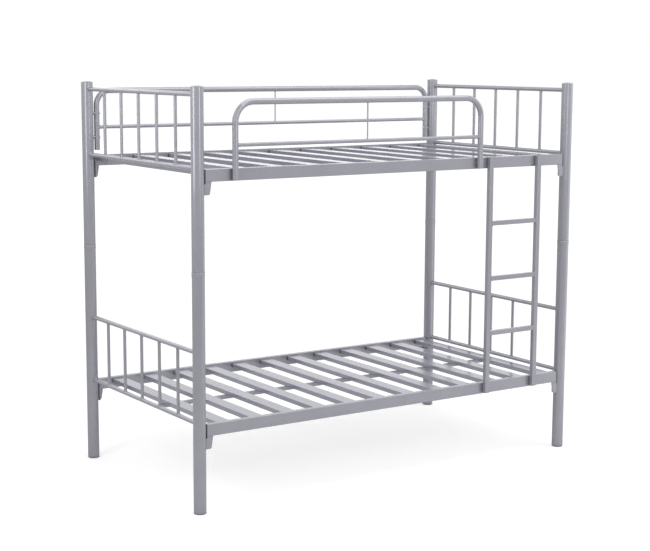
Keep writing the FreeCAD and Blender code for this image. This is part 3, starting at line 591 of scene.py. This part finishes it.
class BED_OT_finish_fasteners(bpy.types.Operator):
    """Zinc plate on bolts and inserts, and button head bolts with a hexagon socket on the back guard."""

    bl_idname = "bed.finish_fasteners"
    bl_label = "Finish the fasteners"

    def execute(self, context):
        zinc = zinc_steel(context.scene.bed_finish.zinc_hex)
        dress(zinc, "zinc_steel")
        bolt = context.scene.bed_bolts
        low, high = span("back_guard_bolts")
        hoop_low, hoop_high = span("back_guard_hoop")
        tube_r = (hoop_high[1] - hoop_low[1]) / 2
        y = (low[1] + high[1]) / 2
        bolts = []
        legs = ((hoop_low[0] + tube_r, low[0], X_AXIS), (hoop_high[0] - tube_r, high[0], -X_AXIS))
        for leg_x, tip_x, inward in legs:
            for z in (low[2] + bolt.head_d / 2, high[2] - bolt.head_d / 2):
                centre = np.array((leg_x, y, z))
                bolts.append(button_bolt(centre, inward, tube_r, -abs(tip_x - leg_x), bolt))
        piece = add_piece("button_head_bolts", bolts, zinc, BOLT_EDGE)
        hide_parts("back_guard_bolts")
        return {"FINISHED"}


class BED_OT_weld_end_panels(bpy.types.Operator):
    """Weld beads where the end tubes meet the posts and the spindles meet the end tubes."""

    bl_idname = "bed.weld_end_panels"
    bl_label = "Weld the end panels"

    def execute(self, context):
        welds = context.scene.bed_welds
        draw = np.random.default_rng(SEEDS["end_panels"])
        tube_torch = (welds.tube_bead, welds.ripple, draw)
        spindle_torch = (welds.spindle_bead, welds.ripple, draw)
        tubes = []
        rods = []
        for level in LEVELS:
            for end in ENDS:
                heights = {}
                for part in ("top", "bottom"):
                    low, high = span("%s_%s_end_%s_tube" % (level, end, part))
                    heights[part] = (low[2] + high[2]) / 2
                    tube_r = (high[2] - low[2]) / 2
                    for side, branch in (("front", Y_AXIS), ("back", -Y_AXIS)):
                        post = span("%s_%s_upper_post" % (side, end))
                        centre = (post[0] + post[1]) / 2
                        centre[2] = heights[part]
                        post_r = (post[1][0] - post[0][0]) / 2
                        tubes.append(saddle_bead(centre, Z_AXIS, branch, post_r, tube_r, *tube_torch))
                low, high = span("%s_%s_end_spindles" % (level, end))
                rod_r = (high[0] - low[0]) / 2
                x = (low[0] + high[0]) / 2
                for y in np.linspace(low[1] + rod_r, high[1] - rod_r, SPINDLES):
                    for part, branch in (("top", -Z_AXIS), ("bottom", Z_AXIS)):
                        centre = np.array((x, y, heights[part]))
                        rods.append(saddle_bead(centre, Y_AXIS, branch, tube_r, rod_r, *spindle_torch))
        coat = bpy.data.materials["silver_powder_coat"]
        add_piece("end_tube_welds", tubes, coat)
        add_piece("spindle_welds", rods, coat)
        return {"FINISHED"}


class BED_OT_weld_decks(bpy.types.Operator):
    """Weld beads at the slat ends, along the bars under the slats and at the rail brackets."""

    bl_idname = "bed.weld_decks"
    bl_label = "Weld the decks"

    def execute(self, context):
        welds = context.scene.bed_welds
        draw = np.random.default_rng(SEEDS["decks"])
        torch = (welds.flat_bead, welds.ripple, draw)
        half = (SLAT_WIDTH / 2 - BAR_CLEARANCE) * X_AXIS
        ends = []
        crossings = []
        for level in LEVELS:
            low, high = span("%s_slats" % level)
            bar_low, bar_high = span("%s_slat_support" % level)
            middle = (low[2] + high[2]) / 2
            rise = ((high[2] - low[2]) / 2 - EDGE_CLEARANCE) * Z_AXIS
            for x in np.linspace(low[0] + SLAT_WIDTH / 2, high[0] - SLAT_WIDTH / 2, SLATS[level]):
                for y, away in ((low[1], 1.0), (high[1], -1.0)):
                    for side in (-1.0, 1.0):
                        edge = np.array((x + side * SLAT_WIDTH / 2, y, middle))
                        out = side * X_AXIS + away * Y_AXIS
                        ends.append(straight_bead(edge - rise, edge + rise, out, *torch))
                if not bar_low[0] < x < bar_high[0]:
                    continue
                for y, side in ((bar_low[1], -1.0), (bar_high[1], 1.0)):
                    edge = np.array((x, y, low[2]))
                    out = side * Y_AXIS - Z_AXIS
                    crossings.append(straight_bead(edge - half, edge + half, out, *torch))
        coat = bpy.data.materials["silver_powder_coat_slats"]
        add_piece("slat_end_welds", ends, coat)
        add_piece("slat_support_welds", crossings, coat)

        brackets = []
        for level in LEVELS:
            for side, inward in (("front", 1.0), ("back", -1.0)):
                low, high = span("%s_%s_rail" % (level, side))
                bottom, top = low[2], high[2]
                inner_y, outer_y = (high[1], low[1]) if inward > 0 else (low[1], high[1])
                stop_y = inner_y - inward * BRACKET_CLEARANCE
                wing_y = outer_y + inward * BRACKET_PLATE
                for x, ahead in ((low[0], 1.0), (high[0], -1.0)):
                    near_x = x + ahead * BRACKET_CLEARANCE
                    far_x = x + ahead * WING_REACH
                    runs = (
                        ((x, inner_y, bottom + EDGE_CLEARANCE), (x, inner_y, top - EDGE_CLEARANCE),
                         inward * Y_AXIS),
                        ((x, wing_y, bottom), (x, stop_y, bottom), ahead * X_AXIS - Z_AXIS),
                        ((near_x, wing_y, bottom), (far_x, wing_y, bottom), inward * Y_AXIS - Z_AXIS),
                    )
                    for start, end, out in runs:
                        brackets.append(straight_bead(np.array(start), np.array(end), out, *torch))
        add_piece("bracket_welds", brackets, bpy.data.materials["silver_powder_coat"])
        return {"FINISHED"}


class BED_OT_weld_guards(bpy.types.Operator):
    """Weld beads of the guards' straight bars on their legs and of the upright wires."""

    bl_idname = "bed.weld_guards"
    bl_label = "Weld the guards"

    def execute(self, context):
        welds = context.scene.bed_welds
        draw = np.random.default_rng(SEEDS["guards"])
        bar_torch = (welds.tube_bead, welds.ripple, draw)
        wire_torch = (welds.wire_bead, welds.ripple, draw)
        beads = []
        for side in SIDES:
            hoop_low, hoop_high = span("%s_guard_hoop" % side)
            bar_low, bar_high = span("%s_guard_mid_bar" % side)
            wire_low, wire_high = span("%s_guard_wire" % side)
            hoop_r = (hoop_high[1] - hoop_low[1]) / 2
            bar_r = (bar_high[1] - bar_low[1]) / 2
            wire_r = (wire_high[1] - wire_low[1]) / 2
            y = (hoop_low[1] + hoop_high[1]) / 2
            bar_z = (bar_low[2] + bar_high[2]) / 2
            wire_x = (wire_low[0] + wire_high[0]) / 2
            for x, branch in ((hoop_low[0] + hoop_r, X_AXIS), (hoop_high[0] - hoop_r, -X_AXIS)):
                centre = np.array((x, y, bar_z))
                beads.append(saddle_bead(centre, Z_AXIS, branch, hoop_r, bar_r, *bar_torch))
            for z, branch, tube_r in ((bar_z, Z_AXIS, bar_r), (hoop_high[2] - hoop_r, -Z_AXIS, hoop_r)):
                centre = np.array((wire_x, y, z))
                beads.append(saddle_bead(centre, X_AXIS, branch, tube_r, wire_r, *wire_torch))
        add_piece("guard_welds", beads, bpy.data.materials["silver_powder_coat"])
        return {"FINISHED"}


class BED_OT_weld_ladder(bpy.types.Operator):
    """Weld beads round the rung ends on the ladder's stiles."""

    bl_idname = "bed.weld_ladder"
    bl_label = "Weld the ladder"

    def execute(self, context):
        welds = context.scene.bed_welds
        draw = np.random.default_rng(SEEDS["ladder"])
        torch = (welds.flat_bead, welds.ripple, draw)
        beads = []
        for rung in ("top", "middle", "bottom"):
            low, high = span("ladder_%s_rung" % rung)
            centre = (low + high) / 2
            size = high - low
            for x in (low[0], high[0]):
                centre[0] = x
                beads.append(frame_bead(centre, Y_AXIS, size[1], Z_AXIS, size[2], RUNG_CORNER, *torch))
        add_piece("rung_welds", beads, bpy.data.materials["silver_powder_coat"])
        return {"FINISHED"}


def aim_camera(scene, studio):
    """Camera at its place, turned by its heading and tilt and then rolled about its line of sight."""
    heading, tilt, roll = (math.radians(angle) for angle in studio.camera_turn)
    ahead = Vector((math.sin(heading) * math.cos(tilt),
                    math.cos(heading) * math.cos(tilt),
                    math.sin(tilt)))
    right = ahead.cross(Vector((0, 0, 1))).normalized()
    up = right.cross(ahead)
    rolled_right = right * math.cos(roll) + up * math.sin(roll)
    rolled_up = up * math.cos(roll) - right * math.sin(roll)
    camera = bpy.data.cameras.new("camera")
    camera.lens = studio.lens
    camera.sensor_width = SENSOR_WIDTH
    camera.clip_end = FAR_CLIP
    holder = bpy.data.objects.new("camera", camera)
    scene.collection.objects.link(holder)
    turn = Matrix((rolled_right, rolled_up, -ahead)).transposed()
    holder.matrix_world = Matrix.Translation(studio.camera_place) @ turn.to_4x4()
    scene.camera = holder


def sight_rays(tree):
    """Two sockets, 1 for the camera's own rays and 1 for rays that metal mirrors or glass lets through."""
    rays = add_node(tree, "ShaderNodeLightPath")
    mirrored = add_node(tree, "ShaderNodeMath", {"operation": "MAXIMUM"},
                        {0: rays.outputs["Is Glossy Ray"], 1: rays.outputs["Is Transmission Ray"]})
    return rays.outputs["Is Camera Ray"], mirrored.outputs["Value"]


def light_room(scene, studio):
    """Room that is plain white to look at and in the metal, and lights the bed with less."""
    world = bpy.data.worlds.new("white_room")
    scene.world = world
    world.use_nodes = True
    tree = world.node_tree
    tree.nodes.clear()
    seen, mirrored = sight_rays(tree)
    either = add_node(tree, "ShaderNodeMath", {"operation": "MAXIMUM"}, {0: seen, 1: mirrored})
    level = add_node(tree, "ShaderNodeMapRange", None,
                     {"Value": either.outputs["Value"], "To Min": studio.room_light, "To Max": 1.0})
    room = add_node(tree, "ShaderNodeBackground", None,
                    {"Color": (1, 1, 1, 1), "Strength": level.outputs["Result"]})
    add_node(tree, "ShaderNodeOutputWorld", None, {"Surface": room.outputs["Background"]})


def studio_paper():
    """Matt white paper that glows to the camera and in the metal, more so far from the bed.

    The glow lifts it to the white of the room, and near the bed it leaves the shadow to be seen.
    """
    material, tree = new_material("white_studio_floor")
    paper = add_node(tree, "ShaderNodeBsdfDiffuse", None, {"Color": FLOOR_GREY})
    place = add_node(tree, "ShaderNodeTexCoord").outputs["Object"]
    reach = add_node(tree, "ShaderNodeVectorMath", {"operation": "LENGTH"}, {0: place})
    strength = 0.0
    for ray, glow in zip(sight_rays(tree), (SEEN_GLOW, MIRRORED_GLOW)):
        level = add_node(tree, "ShaderNodeMapRange", None, {"Value": reach.outputs["Value"], **glow})
        total = add_node(tree, "ShaderNodeMath", {"operation": "MULTIPLY_ADD"},
                         {0: ray, 1: level.outputs["Result"], 2: strength})
        strength = total.outputs["Value"]
    light = add_node(tree, "ShaderNodeEmission", None, {"Strength": strength})
    both = add_node(tree, "ShaderNodeAddShader", None,
                    {0: paper.outputs["BSDF"], 1: light.outputs["Emission"]})
    add_node(tree, "ShaderNodeOutputMaterial", None, {"Surface": both.outputs["Shader"]})
    return material


def lay_floor(scene):
    """Square floor of studio paper under the bed."""
    corners = [(x * FLOOR_HALF, y * FLOOR_HALF, 0) for x, y in ((-1, -1), (1, -1), (1, 1), (-1, 1))]
    mesh = bpy.data.meshes.new("studio_floor")
    mesh.from_pydata(corners, [], [(0, 1, 2, 3)])
    mesh.materials.append(studio_paper())
    floor = bpy.data.objects.new("studio_floor", mesh)
    scene.collection.objects.link(floor)


def softbox(name, place, target, size, power, mirrored):
    """Rectangular soft light that faces a target, unseen by the camera; metal doesn't mirror a fill."""
    lamp = bpy.data.lights.new(name, "AREA")
    lamp.shape = "RECTANGLE"
    lamp.size, lamp.size_y = size
    lamp.energy = power
    holder = bpy.data.objects.new(name, lamp)
    bpy.context.scene.collection.objects.link(holder)
    holder.location = place
    holder.rotation_mode = "QUATERNION"
    holder.rotation_quaternion = (Vector(target) - Vector(place)).to_track_quat("-Z", "Y")
    holder.visible_camera = False
    holder.visible_glossy = mirrored


class BED_OT_set_studio(bpy.types.Operator):
    """Camera, white floor, white room and softboxes."""

    bl_idname = "bed.set_studio"
    bl_label = "Set up the studio"

    def execute(self, context):
        scene = context.scene
        studio = scene.bed_studio
        scene.view_settings.view_transform = "Standard"
        aim_camera(scene, studio)
        light_room(scene, studio)
        lay_floor(scene)
        for name, place, target, size, power, mirrored in SOFTBOXES:
            softbox(name, place, target, size, getattr(studio, power), mirrored)
        return {"FINISHED"}


class BED_PT_panel(bpy.types.Panel):
    """Lists the bed's operators in the sidebar."""

    bl_label = "Bunk bed"
    bl_space_type = "VIEW_3D"
    bl_region_type = "UI"
    bl_category = "Bunk bed"

    def draw(self, context):
        for operator in OPERATORS:
            self.layout.operator(operator.bl_idname)


GROUPS = {"bed_finish": BedFinish, "bed_welds": BedWelds, "bed_bolts": BedBolts, "bed_studio": BedStudio}
OPERATORS = (
    BED_OT_coat_frame, BED_OT_finish_plastics, BED_OT_finish_fasteners, BED_OT_weld_end_panels,
    BED_OT_weld_decks, BED_OT_weld_guards, BED_OT_weld_ladder, BED_OT_set_studio,
)
CLASSES = tuple(GROUPS.values()) + OPERATORS + (BED_PT_panel,)


def register():
    """Register the classes and hang the property groups on the scene."""
    for kind in CLASSES:
        bpy.utils.register_class(kind)
    for name, kind in GROUPS.items():
        setattr(bpy.types.Scene, name, PointerProperty(type=kind))


def unregister():
    """Undo register."""
    for name in GROUPS:
        delattr(bpy.types.Scene, name)
    for kind in reversed(CLASSES):
        bpy.utils.unregister_class(kind)


def main():
    """Dress the frame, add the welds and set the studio."""
    register()
    bpy.ops.bed.coat_frame()
    bpy.ops.bed.finish_plastics()
    bpy.ops.bed.finish_fasteners()
    bpy.ops.bed.weld_end_panels()
    bpy.ops.bed.weld_decks()
    bpy.ops.bed.weld_guards()
    bpy.ops.bed.weld_ladder()
    bpy.ops.bed.set_studio()


if __name__ == "__main__":
    main()
